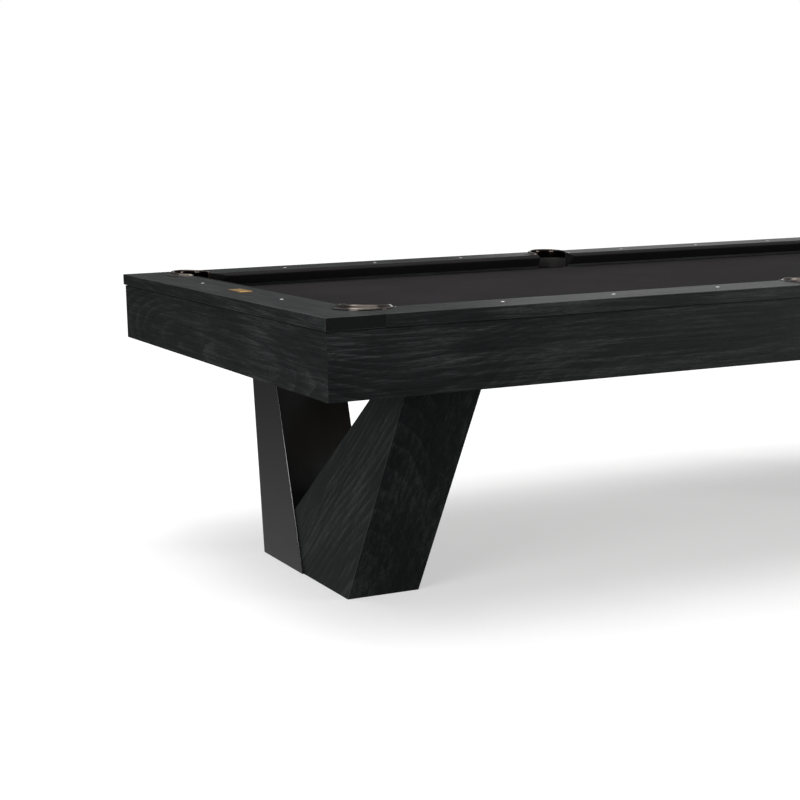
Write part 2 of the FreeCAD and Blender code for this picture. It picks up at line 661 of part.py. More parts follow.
def check_document():
    """Stop if any object failed or any kept shape is empty or invalid."""
    for thing in doc.Objects:
        if "Invalid" in thing.State or "Error" in thing.State:
            raise RuntimeError("%s is %s" % (thing.Name, thing.State))
    for thing in kept:
        if thing.Shape.isNull() or not thing.Shape.isValid() or not thing.Shape.Solids:
            raise RuntimeError("%s has no valid solid" % thing.Label)


def write_parts():
    """Write each sub-part to its own file."""
    os.makedirs("parts", exist_ok=True)
    for thing in kept:
        thing.Shape.exportStep("parts/%s.step" % thing.Label)


build_rails()
build_sights()
build_pockets()
build_bed()
build_rail_bolts()
build_frame()
build_aprons()
build_pedestals()
build_feet()
doc.recompute()
check_document()
write_parts()
print(len(kept), "sub-parts written")
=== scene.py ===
"""Looks of the nine foot pool table: stained wood, wrapped cushions, cast irons and leather pockets.

Everything is in metres in the frame of the CAD model: +X along the table, +Y to the far side, +Z up.
"""

import bmesh
import bpy
import math
from mathutils import Matrix, Vector


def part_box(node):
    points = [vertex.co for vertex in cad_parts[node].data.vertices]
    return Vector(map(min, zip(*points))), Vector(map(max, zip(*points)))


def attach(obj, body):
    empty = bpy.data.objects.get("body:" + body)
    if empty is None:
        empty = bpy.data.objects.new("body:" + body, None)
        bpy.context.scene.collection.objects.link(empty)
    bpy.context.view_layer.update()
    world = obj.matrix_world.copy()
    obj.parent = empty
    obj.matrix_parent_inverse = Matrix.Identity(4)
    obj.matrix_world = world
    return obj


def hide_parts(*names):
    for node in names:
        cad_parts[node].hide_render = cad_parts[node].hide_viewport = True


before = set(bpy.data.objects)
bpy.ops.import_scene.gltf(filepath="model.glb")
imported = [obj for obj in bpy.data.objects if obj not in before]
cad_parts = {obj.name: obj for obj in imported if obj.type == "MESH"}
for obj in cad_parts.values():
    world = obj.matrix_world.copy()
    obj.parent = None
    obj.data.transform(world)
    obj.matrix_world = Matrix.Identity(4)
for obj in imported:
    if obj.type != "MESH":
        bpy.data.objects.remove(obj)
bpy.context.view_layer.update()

TABLE = "table"
SIDES = {"near": -1, "far": 1}
ENDS = {"left": -1, "right": 1}

# --- sizes read from the frame ---

cap_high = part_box("end_rail_cap_left")[1]
bed_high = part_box("bed_cloth")[1]

RAIL_TOP = cap_high.z
BED = bed_high.z
SLATE_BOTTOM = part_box("slate_left")[0].z
CAP_X = -cap_high.x  # inner edge of the end rail's wooden cap
NOSE_X = -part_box("end_rail_cloth_left")[1].x  # the cushion noses
NOSE_Y = -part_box("side_rail_cloth_near_left")[1].y

# sizes that the frame doesn't state
NOSE_HEIGHT = 0.0365  # of the cushion's nose over the bed
STRIP = 0.008  # width of the feather strip
POCKET_RADIUS = 0.058
CORNER_BEYOND = 0.020  # a pocket's centre beyond the nose lines
SIDE_BEYOND = 0.065
CORNER_TIP = 0.0856  # a cushion's tip short of the corner, or off the middle of the table
SIDE_TIP = 0.0665
CORNER_FLARE = 1.28  # run of a cushion's end along the rail per unit of depth
SIDE_FLARE = 0.249
CORNER_ARC = math.radians(240)  # sweep of an iron round its pocket
SIDE_ARC = math.radians(232)
BUTT_GAP = 0.0006  # open joint between a side cap and an end cap
REVEAL = 0.003  # shadow gap between the caps and the aprons
REVEAL_DEPTH = 0.006
CLOTH_PROUD = 0.0006  # how far the wrapped ends stand off the rubber facings
TURN_DOWN = 0.0225  # bed cloth folded down over the slate's edge
CAP_EDGE = 0.0013  # eased edges of the caps, aprons, wooden slabs and steel slabs
APRON_EDGE = 0.0011
WOOD_SLAB_EDGE = 0.0016
STEEL_SLAB_EDGE = 0.0022
EDGE_STEPS = 3
SOFT_TURN = math.radians(38)  # sharper turns than this keep a crease in the shading
FLAT_TURN = math.radians(1)  # faces this close to one plane are one face
WOOD_GLOSS = 0.14


# --- material nodes ---

def fill_ramp(ramp, stops):
    """Give a colour ramp its stops, each (position, grey or colour)."""
    while len(ramp.elements) < len(stops):
        ramp.elements.new(0.5)
    for element, (position, colour) in zip(ramp.elements, stops):
        element.position = position
        if isinstance(colour, (int, float)):
            colour = (colour,) * 3
        element.color = tuple(colour) + (1.0,)


def placed(name, data):
    """A new object in the scene."""
    made = bpy.data.objects.new(name, data)
    bpy.context.scene.collection.objects.link(made)
    return made


class Shader:
    """A material and short calls for the nodes that it is made of."""

    def __init__(self, name):
        self.material = bpy.data.materials.new(name)
        self.material.use_nodes = True
        self.tree = self.material.node_tree
        self.bsdf = self.tree.nodes["Principled BSDF"]

    def node(self, kind, links=(), **settings):
        """A node of one kind, its attributes set and its inputs linked or filled."""
        made = self.tree.nodes.new("ShaderNode" + kind)
        for key, value in settings.items():
            setattr(made, key, value)
        for key, value in dict(links).items():
            self.feed(made.inputs[key], value)
        return made

    def feed(self, socket, value):
        """Link a socket or set its value."""
        if isinstance(value, bpy.types.NodeSocket):
            self.tree.links.new(value, socket)
        else:
            socket.default_value = value

    def math(self, operation, first, second=0.0, third=0.0):
        made = self.node("Math", {0: first, 1: second, 2: third}, operation=operation)
        return made.outputs[0]

    def vector(self, operation, first, second=(0, 0, 0)):
        made = self.node("VectorMath", {0: first, 1: second}, operation=operation)
        return made.outputs["Value"] if operation in ("DOT_PRODUCT", "LENGTH") else made.outputs[0]

    def place(self):
        """The point in the row frame."""
        return self.node("TexCoord").outputs["Object"]

    def board(self, along, across, shift=(0, 0, 0)):
        """The point in a board's own axes: along the grain, across it and through it."""
        along = Vector(along).normalized()
        across = Vector(across).normalized()
        through = along.cross(across)
        point = self.vector("ADD", self.place(), shift)
        parts = [self.vector("DOT_PRODUCT", point, tuple(axis)) for axis in (along, across, through)]
        return self.node("CombineXYZ", {"X": parts[0], "Y": parts[1], "Z": parts[2]}).outputs[0]

    def noise(self, point, scale, stretch=(1, 1, 1), detail=2.0, roughness=0.5):
        scaled = self.vector("MULTIPLY", point, stretch)
        links = {"Vector": scaled, "Scale": scale, "Detail": detail, "Roughness": roughness}
        return self.node("TexNoise", links).outputs[0]

    def ramp(self, factor, stops):
        """A colour ramp over a factor."""
        made = self.node("ValToRGB", {"Fac": factor})
        fill_ramp(made.color_ramp, stops)
        return made.outputs[0]

    def mix(self, factor, first, second, blend="MIX"):
        made = self.node("Mix", data_type="RGBA", blend_type=blend)
        self.feed(made.inputs["Factor"], factor)
        for socket, value in zip(("A", "B"), (first, second)):
            target = [item for item in made.inputs if item.name == socket and item.type == "RGBA"][0]
            self.feed(target, tuple(value) + (1.0,) if isinstance(value, (tuple, list)) else value)
        return [item for item in made.outputs if item.type == "RGBA"][0]

    def bump(self, height, distance, strength=1.0):
        links = {"Height": height, "Distance": distance, "Strength": strength}
        made = self.node("Bump", links)
        self.feed(self.bsdf.inputs["Normal"], made.outputs[0])

    def set(self, **values):
        """Set or link the shader's own sockets by name, with _ for a space."""
        for key, value in values.items():
            name = key.replace("_", " ")
            if isinstance(value, tuple) and len(value) == 3:
                value = value + (1.0,)
            self.feed(self.bsdf.inputs[name], value)
        return self.material


def black_stain():
    """Black-stained open-grained wood: ring cathedrals, fibres, pores, darker end grain, and a painted
    highlight that lightens the rounded edges.
    """
    shader = Shader("black_stained_wood")
    point = shader.node("Attribute", attribute_name="grain").outputs["Vector"]
    end_grain = shader.node("Attribute", attribute_name="end_grain").outputs["Fac"]
    painted_edge_highlight = shader.node("Attribute", attribute_name="painted_edge_highlight").outputs["Fac"]
    drift = shader.noise(point, 1.0, (0.9, 0.7, 0.7), 3.0, 0.45)
    sway = shader.noise(shader.vector("ADD", point, (7.3, 2.1, 4.4)), 1.0, (0.7, 0.5, 0.5), 2.0, 0.4)
    offset = shader.node("CombineXYZ", {"X": 0.0, "Y": drift, "Z": sway}).outputs[0]
    heart = shader.vector("ADD", shader.vector("MULTIPLY", point, (0.03, 1.0, 1.0)),
                          shader.vector("MULTIPLY", offset, (0.0, 0.16, 0.24)))
    radius = shader.vector("LENGTH", heart)
    waver = shader.noise(point, 1.0, (3.0, 45.0, 45.0), 3.0, 0.6)
    waver = shader.math("MULTIPLY", waver, 0.55)
    ring = shader.math("FRACT", shader.math("MULTIPLY_ADD", radius, 135.0, waver))
    ring_tone = shader.ramp(ring, [(0.0, 0.2), (0.5, 0.5), (0.88, 1.0), (1.0, 0.2)])
    fibre = shader.noise(point, 1.0, (6.0, 300.0, 300.0), 5.0, 0.72)
    streak = shader.noise(point, 1.0, (4.0, 100.0, 100.0), 4.0, 0.68)
    pore = shader.noise(point, 1.0, (45.0, 900.0, 900.0), 2.0, 0.5)
    pore_mask = shader.ramp(pore, [(0.40, 1.0), (0.48, 0.0)])
    cloudy = shader.noise(point, 1.0, (3.2, 9.0, 9.0), 4.0, 0.6)
    presence = shader.ramp(shader.noise(point, 1.0, (1.7, 7.0, 7.0), 2.0), [(0.40, 0.03), (0.62, 0.17)])
    tone = shader.mix(0.5, fibre, streak)
    tone = shader.mix(presence, tone, ring_tone)
    tone = shader.mix(0.3, tone, cloudy)
    colour = shader.ramp(tone, [(0.38, (0.0022, 0.0029, 0.0031)), (0.5, (0.0088, 0.0106, 0.0109)),
                                (0.62, (0.034, 0.0384, 0.0378))])
    colour = shader.mix(shader.math("MULTIPLY", pore_mask, 0.7), colour, (0.003, 0.0034, 0.0034))
    colour = shader.mix(shader.math("MULTIPLY", end_grain, 0.94), colour, (0.0019, 0.0021, 0.0021))
    # painted highlight: the rounded edge faces are made lighter, in cloudy patches
    painted_highlight = shader.math("MULTIPLY", painted_edge_highlight, shader.ramp(cloudy, [(0.35, 0.1), (0.7, 0.6)]))
    colour = shader.mix(painted_highlight, colour, (0.075, 0.078, 0.076))
    matt = shader.math("MULTIPLY_ADD", end_grain, 0.3, 0.34)
    roughness = shader.math("MULTIPLY_ADD", fibre, 0.2, matt)
    height = shader.math("SUBTRACT", shader.math("MULTIPLY", fibre, 0.5), pore_mask)
    height = shader.math("MULTIPLY_ADD", ring_tone, 0.08, height)
    shader.bump(height, 0.0001, 0.7)
    return shader.set(Base_Color=colour, Roughness=roughness, Specular_IOR_Level=WOOD_GLOSS)


def plain_wood(name, along, across):
    """Unfinished poplar of the hidden frame."""
    shader = Shader(name)
    point = shader.board(along, across, (0.3, 0.13, -0.7))
    drift = shader.noise(point, 1.0, (1.0, 6.0, 6.0), 3.0)
    ring = shader.math("FRACT", shader.math("MULTIPLY", drift, 14.0))
    fibre = shader.noise(point, 1.0, (6.0, 320.0, 320.0), 4.0, 0.6)
    tone = shader.mix(0.55, shader.ramp(ring, [(0.0, 0.2), (0.8, 0.9), (1.0, 0.2)]), fibre)
    colour = shader.ramp(tone, [(0.2, (0.26, 0.165, 0.085)), (0.55, (0.42, 0.29, 0.16)),
                                (0.85, (0.55, 0.41, 0.25))])
    shader.bump(fibre, 0.0002, 0.7)
    return shader.set(Base_Color=colour, Roughness=shader.math("MULTIPLY_ADD", fibre, 0.2, 0.6),
                      Specular_IOR_Level=0.3)


def cloth(name, tone, lean):
    """Napped wool: crossed threads under a short nap that lies one way, with faint cloudy patches."""
    shader = Shader(name)
    place = shader.place()
    threads = []
    for axis in ("X", "Y"):
        wave = shader.node("TexWave", {"Vector": place, "Scale": 320.0, "Distortion": 1.4, "Detail": 2.0,
                                       "Detail Scale": 3.0}, bands_direction=axis)
        threads.append(wave.outputs["Fac"])
    weave = shader.math("MULTIPLY", threads[0], threads[1])
    fine = (700.0, 2100.0, 1400.0) if lean == "Y" else (2100.0, 700.0, 1400.0)
    nap = shader.noise(place, 1.0, fine, 4.0, 0.7)
    clouds = shader.noise(place, 1.0, (5.0, 5.0, 5.0), 4.0, 0.6)
    lint = shader.ramp(shader.noise(place, 420.0, (1, 1, 1), 1.0), [(0.74, 0.0), (0.79, 1.0)])
    mixed = shader.mix(0.6, weave, nap)
    mixed = shader.mix(0.35, mixed, clouds)
    dark = tuple(channel * 0.5 for channel in tone)
    light = tuple(channel * 1.65 for channel in tone)
    colour = shader.ramp(mixed, [(0.25, dark), (0.7, light)])
    colour = shader.mix(shader.math("MULTIPLY", lint, 0.12), colour, (0.12, 0.115, 0.12))
    shader.bump(shader.math("MULTIPLY_ADD", nap, 0.8, weave), 0.00025, 0.6)
    return shader.set(Base_Color=colour, Roughness=0.95, Specular_IOR_Level=0.06, Sheen_Weight=0.03,
                      Sheen_Roughness=0.5, Sheen_Tint=(0.75, 0.7, 0.74))


def gum_rubber():
    """Cushion rubber, warm grey-brown and slightly chalky."""
    shader = Shader("gum_rubber")
    place = shader.place()
    clouds = shader.noise(place, 40.0, (1, 1, 1), 4.0)
    grit = shader.noise(place, 900.0, (1, 1, 1), 2.0)
    colour = shader.ramp(clouds, [(0.3, (0.20, 0.115, 0.06)), (0.7, (0.33, 0.20, 0.11))])
    shader.bump(grit, 0.0001, 0.5)
    return shader.set(Base_Color=colour, Roughness=0.62)


def pearl():
    """Mother of pearl: cloudy layers of white, pink and green under a polished face."""
    shader = Shader("pearl_inlay")
    place = shader.place()
    swirl = shader.noise(place, 190.0, (1, 1, 1), 3.0, 0.55)
    layer = shader.node("TexWave", {"Vector": place, "Scale": 60.0, "Distortion": 9.0, "Detail": 3.0,
                                    "Detail Scale": 2.0})
    colour = shader.ramp(layer.outputs["Fac"], [(0.1, (0.70, 0.71, 0.66)), (0.45, (0.85, 0.82, 0.80)),
                                                (0.75, (0.74, 0.82, 0.79)), (0.95, (0.88, 0.86, 0.88))])
    colour = shader.mix(shader.math("MULTIPLY", swirl, 0.3), colour, (0.92, 0.9, 0.86))
    return shader.set(Base_Color=colour, Roughness=shader.math("MULTIPLY_ADD", swirl, 0.1, 0.12),
                      Coat_Weight=0.6, Coat_Roughness=0.08)


def brass():
    """Brushed brass of the plaque, dark in its sunk field."""
    shader = Shader("plaque_brass")
    place = shader.place()
    brushed = shader.noise(place, 1.0, (2600.0, 60.0, 60.0), 3.0, 0.6)
    tarnish = shader.noise(place, 55.0, (1, 1, 1), 4.0, 0.6)
    colour = shader.ramp(tarnish, [(0.3, (0.52, 0.29, 0.075)), (0.7, (0.83, 0.55, 0.21))])
    height = shader.vector("DOT_PRODUCT", place, (0, 0, 1))
    field_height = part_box("end_rail_plaque")[1].z - 0.00055
    raised = shader.math("SUBTRACT", height, field_height)
    field = shader.ramp(shader.math("MULTIPLY", raised, 3000.0), [(0.0, 0.0), (0.9, 1.0)])
    colour = shader.mix(field, (0.16, 0.078, 0.018), colour)
    shader.bump(brushed, 0.00004, 0.7)
    return shader.set(Base_Color=colour, Metallic=1.0,
                      Roughness=shader.math("MULTIPLY_ADD", brushed, 0.22, 0.2))


def antique_bronze():
    """Cast irons, plated and polished: dark, with a painted highlight that lightens the upward-facing faces
    in patches.
    """
    shader = Shader("antique_bronze")
    place = shader.place()
    normal = shader.node("NewGeometry").outputs["Normal"]
    upward = shader.vector("DOT_PRODUCT", normal, (0, 0, 1))
    casting = shader.noise(place, 260.0, (1, 1, 1), 4.0, 0.6)
    patches = shader.noise(place, 38.0, (1, 1, 1), 4.0, 0.6)
    # painted highlight: faces turned upward are made lighter, in patches
    painted_highlight = shader.math("MULTIPLY", shader.ramp(upward, [(0.3, 0.0), (0.95, 1.0)]), patches)
    colour = shader.mix(painted_highlight, (0.030, 0.024, 0.021), (0.125, 0.108, 0.095))
    scratch = shader.noise(place, 1.0, (900.0, 120.0, 300.0), 2.0)
    rough = shader.math("MULTIPLY_ADD", patches, 0.12, shader.math("MULTIPLY_ADD", scratch, 0.08, 0.06))
    shader.bump(casting, 0.00008, 0.5)
    return shader.set(Base_Color=colour, Metallic=1.0, Roughness=rough)


def black_leather():
    """Pocket leather: pebbled grain, creases and a dry sheen."""
    shader = Shader("pocket_leather")
    place = shader.place()
    cells = shader.node("TexVoronoi", {"Vector": place, "Scale": 620.0}, feature="SMOOTH_F1")
    pebble = cells.outputs["Distance"]
    crease = shader.noise(place, 75.0, (1, 1, 2.5), 5.0, 0.65)
    colour = shader.ramp(crease, [(0.3, (0.0055, 0.005, 0.0048)), (0.7, (0.02, 0.0185, 0.0175))])
    shader.bump(shader.math("MULTIPLY_ADD", crease, 0.7, pebble), 0.0006, 0.6)
    return shader.set(Base_Color=colour, Roughness=shader.math("MULTIPLY_ADD", crease, 0.25, 0.42),
                      Specular_IOR_Level=0.4)


def slate():
    """Honed slate: cloudy grey with fine mineral streaks."""
    shader = Shader("honed_slate")
    place = shader.place()
    clouds = shader.noise(place, 7.0, (1, 1, 6), 6.0, 0.6)
    streak = shader.noise(place, 1.0, (14.0, 70.0, 700.0), 4.0, 0.6)
    colour = shader.ramp(shader.mix(0.5, clouds, streak), [(0.3, (0.045, 0.05, 0.055)),
                                                           (0.7, (0.115, 0.12, 0.13))])
    shader.bump(streak, 0.0002, 0.5)
    return shader.set(Base_Color=colour, Roughness=shader.math("MULTIPLY_ADD", clouds, 0.2, 0.5))


def zinc_steel():
    """Zinc-plated fasteners and plates with mottled passivation."""
    shader = Shader("zinc_steel")
    place = shader.place()
    spangle = shader.node("TexVoronoi", {"Vector": place, "Scale": 160.0}).outputs["Color"]
    smear = shader.noise(place, 90.0, (1, 1, 1), 4.0)
    grey = shader.node("RGBToBW", {0: spangle}).outputs[0]
    mottle = shader.mix(0.6, grey, smear)
    colour = shader.ramp(mottle, [(0.3, (0.33, 0.335, 0.34)), (0.7, (0.56, 0.56, 0.55))])
    return shader.set(Base_Color=colour, Metallic=1.0,
                      Roughness=shader.math("MULTIPLY_ADD", smear, 0.2, 0.26))


def powder_coat():
    """Satin black powder coat of the steel slabs, with orange peel and faint smudges."""
    shader = Shader("leg_powder_coat")
    place = shader.place()
    peel = shader.noise(place, 520.0, (1, 1, 1), 2.0, 0.5)
    smudge = shader.noise(place, 9.0, (1, 1, 1), 5.0, 0.65)
    colour = shader.ramp(smudge, [(0.3, (0.0022, 0.0022, 0.0022)), (0.7, (0.0036, 0.0036, 0.0035))])
    shader.bump(peel, 0.00006, 0.5)
    return shader.set(Base_Color=colour, Roughness=shader.math("MULTIPLY_ADD", smudge, 0.08, 0.2),
                      Specular_IOR_Level=0.9)


def nylon():
    """Moulded nylon of the levelling pads."""
    shader = Shader("foot_nylon")
    place = shader.place()
    grain = shader.noise(place, 800.0, (1, 1, 1), 3.0)
    scuff = shader.noise(place, 60.0, (1, 1, 1), 5.0, 0.7)
    colour = shader.ramp(scuff, [(0.35, (0.014, 0.014, 0.015)), (0.75, (0.05, 0.05, 0.05))])
    shader.bump(grain, 0.0001, 0.6)
    return shader.set(Base_Color=colour, Roughness=0.55)


# --- mesh helpers ---

def piece(name, mesh, material, body=TABLE, stands_for=(), smooth=True):
    """Make a piece from a bmesh and ride it on a body."""
    data = bpy.data.meshes.new(name)
    bmesh.ops.recalc_face_normals(mesh, faces=mesh.faces)
    mesh.to_mesh(data)
    mesh.free()
    data.materials.append(material)
    if smooth is not None:
        for face in data.polygons:
            face.use_smooth = smooth
    made = placed(name, data)
    if smooth:
        data.set_sharp_from_angle(angle=SOFT_TURN)
    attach(made, body)
    if stands_for:
        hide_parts(*stands_for)
    return made


def grain(data, along, across, shift):
    """Store a board's own coordinates on its mesh, and how far each face shows end grain.

    The coordinates run along the grain, across it and through it, from the board's middle, moved by
    shift: the log's heart lies at nought across and through.
    """
    axes = [Vector(along).normalized(), Vector(across).normalized()]
    axes.append(axes[0].cross(axes[1]))
    spans = [[vertex.co.dot(axis) for vertex in data.vertices] for axis in axes]
    middles = [(min(span) + max(span)) / 2 for span in spans]
    stored = data.attributes.new("grain", "FLOAT_VECTOR", "POINT")
    for number, item in enumerate(stored.data):
        item.vector = [spans[axis][number] - middles[axis] + shift[axis] for axis in range(3)]
    ends = data.attributes.new("end_grain", "FLOAT", "FACE")
    for face, item in zip(data.polygons, ends.data):
        item.value = max(0.0, abs(face.normal.dot(axes[0])) - 0.55) / 0.45


def soften(solid, width, shortest=0.02):
    """Round a solid's long sharp edges and mark the new faces to take the painted edge highlight."""
    edge_highlight_layer = solid.faces.layers.float.new("painted_edge_highlight")
    sharp = [edge for edge in solid.edges if len(edge.link_faces) == 2
             and edge.calc_face_angle() > math.radians(30) and edge.calc_length() > shortest]
    made = bmesh.ops.bevel(solid, geom=sharp, offset=width, segments=EDGE_STEPS, profile=0.5,
                           affect="EDGES", clamp_overlap=True)
    for face in solid.faces:
        face.smooth = False
    for face in made["faces"]:
        face.smooth = True
        # the rounded faces get the painted edge highlight
        face[edge_highlight_layer] = 1.0


def cad_solid(node):
    """The CAD node's shape with its flat faces whole again."""
    solid = bmesh.new()
    solid.from_mesh(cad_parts[node].data)
    bmesh.ops.remove_doubles(solid, verts=solid.verts, dist=1e-6)
    bmesh.ops.dissolve_limit(solid, angle_limit=FLAT_TURN, verts=solid.verts, edges=solid.edges)
    return solid


def finished(name, solid, material, node, board=None):
    """A softened solid as a piece that stands for a CAD node; board gives its grain."""
    made = piece(name, solid, material, stands_for=(node,), smooth=None)
    if board:
        grain(made.data, *board)
    return made


def skin(solid, rings, closed=True, capped=True):
    """Faces between rings of vertices, and over the first and the last ring if capped."""
    for first, second in zip(rings, rings[1:]):
        count = len(first)
        for number in range(count if closed else count - 1):
            following = (number + 1) % count
            solid.faces.new((first[number], first[following], second[following], second[number]))
    if capped:
        solid.faces.new(rings[0])
        solid.faces.new(rings[-1])


def spoke(solid, centre, angle, points):
    """Vertices at (radius, height) points in the upright plane at an angle about centre."""
    across = Vector((math.cos(angle), math.sin(angle), 0))
    return [solid.verts.new(centre + across * radius + Vector((0, 0, height))) for radius, height in points]


def lathe(points, steps, centre, start=0.0, sweep=math.tau, close=True):
    """A bmesh turned from (radius, height) points about an upright axis through centre."""
    solid = bmesh.new()
    full = abs(sweep - math.tau) < 1e-6
    columns = steps if full else steps + 1
    rings = [spoke(solid, centre, start + sweep * column / steps, points) for column in range(columns)]
    if full:
        rings.append(rings[0])
    skin(solid, rings, close, close and not full)
    bmesh.ops.remove_doubles(solid, verts=solid.verts, dist=1e-7)
    return solid


def joined(parts):
    """Several bmeshes in one."""
    total = bmesh.new()
    for part in parts:
        data = bpy.data.meshes.new("joined")
        part.to_mesh(data)
        part.free()
        total.from_mesh(data)
        bpy.data.meshes.remove(data)
    return total


def islands(node):
    """Lowest and highest corner of each separate solid in a CAD node."""
    solid = bmesh.new()
    solid.from_mesh(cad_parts[node].data)
    bmesh.ops.remove_doubles(solid, verts=solid.verts, dist=1e-6)
    left = set(solid.verts)
    boxes = []
    while left:
        stack = [left.pop()]
        found = []
        while stack:
            vertex = stack.pop()
            found.append(vertex.co.copy())
            for edge in vertex.link_edges:
                other = edge.other_vert(vertex)
                if other in left:
                    left.remove(other)
                    stack.append(other)
        low = Vector(min(point[axis] for point in found) for axis in range(3))
        high = Vector(max(point[axis] for point in found) for axis in range(3))
        boxes.append((low, high))
    solid.free()
    return sorted(boxes, key=lambda pair: tuple(round(value, 4) for value in pair[0]))


# --- materials ---

BLACK_WOOD = black_stain()
BOARDS = {  # along the grain, across it, and where the board was cut from the log
    "side_near": ((1, 0, 0), (0, 0, 1), (0.0, 0.035, 0.085)),
    "side_far": ((1, 0, 0), (0, 0, 1), (3.1, -0.02, -0.095)),
    "end_left": ((0, 1, 0), (0, 0, 1), (6.2, -0.045, 0.1)),
    "end_right": ((0, 1, 0), (0, 0, 1), (9.3, 0.03, -0.08)),
    "cap_near": ((1, 0, 0), (0, 1, 0), (12.4, 0.04, 0.11)),
    "cap_far": ((1, 0, 0), (0, 1, 0), (15.5, -0.05, 0.1)),
    "cap_left": ((0, 1, 0), (1, 0, 0), (18.6, 0.06, 0.12)),
    "cap_right": ((0, 1, 0), (1, 0, 0), (21.7, -0.03, 0.1)),
    "leg_left": ((0, -1.05, 1), (1, 0, 0), (24.8, 0.03, 0.17)),
    "leg_right": ((0, 1.05, 1), (1, 0, 0), (27.9, -0.03, 0.16)),
    "rail_x": ((1, 0, 0), (0, 0, 1), (31.0, 0.05, 0.1)),
    "rail_y": ((0, 1, 0), (0, 0, 1), (34.1, 0.06, 0.1)),
}
POPLAR_ALONG_X = plain_wood("poplar_along_x", (1, 0, 0), (0, 1, 0))
POPLAR_ALONG_Y = plain_wood("poplar_along_y", (0, 1, 0), (1, 0, 0))
POPLAR_UPRIGHT = plain_wood("poplar_upright", (0, 0, 1), (1, 0, 0))
BED_CLOTH = cloth("bed_wool", (0.0098, 0.0087, 0.0092), "Y")
RAIL_CLOTH = cloth("rail_wool", (0.0082, 0.0072, 0.0077), "X")
RUBBER = gum_rubber()
PEARL = pearl()
BRASS = brass()
BRONZE = antique_bronze()
LEATHER = black_leather()
SLATE = slate()
ZINC = zinc_steel()
POWDER = powder_coat()
NYLON = nylon()


# --- rails ---

def cushion_profile():
    """Cloth path over a cushion as (distance behind the nose, height).

    It comes out of the groove at the wooden cap, goes over the feather strip and down to the nose, round
    it and back under to the bed.
    """
    wood = CAP_X - NOSE_X
    strip = wood - STRIP
    over = RAIL_TOP - 0.0004
    nose = BED + NOSE_HEIGHT
    points = [(wood - 0.0001, RAIL_TOP - 0.004), (wood - 0.0004, RAIL_TOP - 0.0018),
              (wood - 0.0014, over - 0.0003), (wood - 0.0034, over), (strip + 0.001, over - 0.0001)]
    brow = (0.0072, nose + 0.0036)
    tip = (-0.00035, nose)
    chin = (0.0026, nose - 0.0046)
    foot = (strip, BED + 0.0072)
    swell = 0.00035
    for step in range(1, 9):
        share = step / 9
        height = over + share * (brow[1] - over) + swell * math.sin(math.pi * share)
        points.append((strip + share * (brow[0] - strip), height))
    pull = [2 * tip[axis] - (brow[axis] + chin[axis]) / 2 for axis in (0, 1)]
    for step in range(9):
        share = step / 8
        points.append(tuple((1 - share) ** 2 * brow[axis] + 2 * share * (1 - share) * pull[axis]
                            + share ** 2 * chin[axis] for axis in (0, 1)))
    for step in range(1, 8):
        share = step / 7
        points.append(tuple(chin[axis] + share * (foot[axis] - chin[axis]) for axis in (0, 1)))
    points.append((strip + 0.0004, BED + 0.0002))
    return points


def rail_cloth(name, node, sign, along_x, ends):
    """One rail's cloth, wrapped over the cushion and tucked round both of its ends.

    ends are (nose tip, direction, flare) for the two ends, lowest first.
    """
    profile = cushion_profile()
    nose = NOSE_Y if along_x else NOSE_X
    solid = bmesh.new()
    rows = []
    steps = 96
    wave = 0.00018  # height of the cloth's faint unevenness
    level = 0.03  # from the nose to where it has its full height
    fold = 0.0016  # radius of the folds at the wrapped ends

    def vertex(place, depth, height):
        out = sign * (nose + depth)
        return solid.verts.new((place, out, height) if along_x else (out, place, height))

    cover = [direction * CLOTH_PROUD * math.sqrt(1 + flare * flare) for tip, direction, flare in ends]
    for depth, height in profile:
        low = ends[0][0] + cover[0] + ends[0][1] * ends[0][2] * depth
        high = ends[1][0] + cover[1] + ends[1][1] * ends[1][2] * depth
        row = []
        for step in range(steps + 1):
            share = 0.5 - 0.5 * math.cos(math.pi * step / steps)
            share = 0.5 * share + 0.5 * step / steps
            place = low + (high - low) * share
            ripple = wave * math.sin(place * 47.0) * math.sin(place * 19.0 + 1.3)
            pull = min(1.0, depth / level)
            row.append(vertex(place, depth, height + ripple * pull))
        rows.append(row)
    skin(solid, rows, closed=False, capped=False)
    for step in (0, -1):
        solid.faces.new([row[step] for row in rows])
    rim = [edge for edge in solid.edges if len(edge.link_faces) == 2
           and edge.calc_face_angle() > math.radians(55)]
    bmesh.ops.bevel(solid, geom=rim, offset=fold, segments=EDGE_STEPS, profile=0.5, affect="EDGES",
                    clamp_overlap=True)
    made = piece(name, solid, RAIL_CLOTH, stands_for=(node,))
    return made


def clear_edge_highlight(solid):
    """Take the painted edge highlight off a cap's edges at its butt joint."""
    edge_highlight_layer = solid.faces.layers.float["painted_edge_highlight"]
    for face in solid.faces:
        if abs(abs(face.calc_center_median().x) - CAP_X) < 0.003:
            face[edge_highlight_layer] = 0.0


